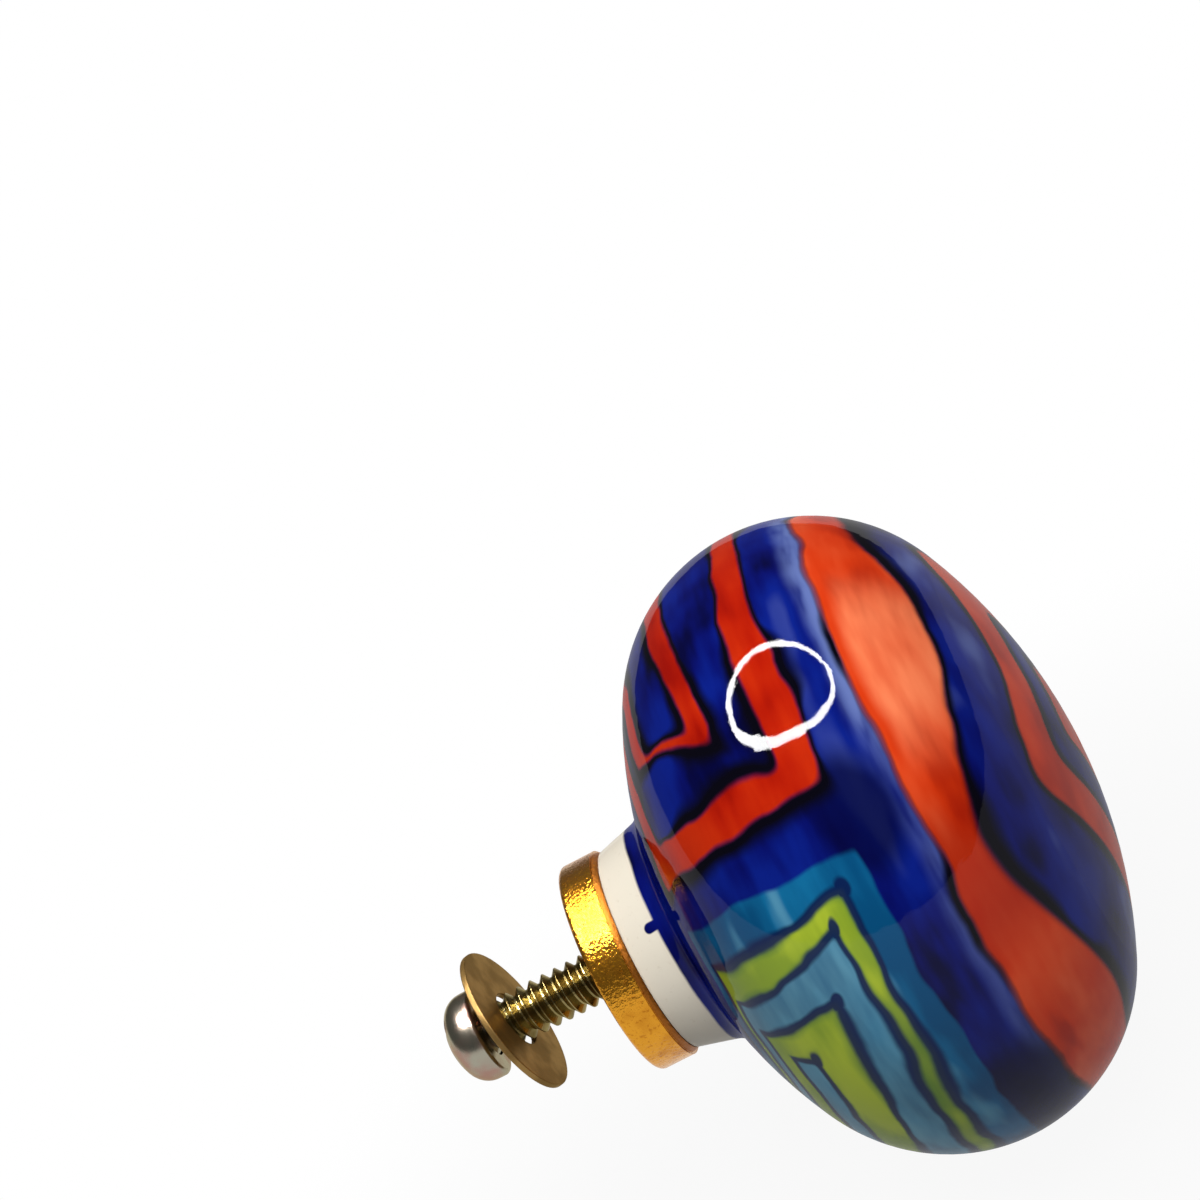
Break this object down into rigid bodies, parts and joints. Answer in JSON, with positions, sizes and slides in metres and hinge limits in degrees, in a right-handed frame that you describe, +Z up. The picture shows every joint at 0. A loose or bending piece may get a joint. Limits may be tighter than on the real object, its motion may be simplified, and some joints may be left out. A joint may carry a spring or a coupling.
{
  "type": "ceramic knob",
  "caption": "Round domed ceramic drawer knob with a flared neck, a metal collar against the drawer front, and a pan-head fixing screw with a loose washer.",
  "frame": {"origin": "on the knob's axis, in the plane of the collar's back face, where it meets the drawer front", "axes": "+Y along the knob's axis, out of the back along the screw; the dome looks along -Y; +Z up"},
  "size_m": [0.049, 0.0523, 0.049],
  "materials": {
    "painted_glaze": "glossy hand-painted glaze",
    "gilt_metal": "gilt, finely pitted",
    "insert_brass": "turned",
    "screw_zinc": "yellow zinc plated",
    "washer_zinc": "dull yellow zinc plated"
  },
  "bodies": {
    "root": {"ceramic_body": "painted_glaze", "base_collar": "gilt_metal", "threaded_insert": "insert_brass", "fixing_screw": "screw_zinc", "washer": "washer_zinc"}
  },
  "joints": []
}
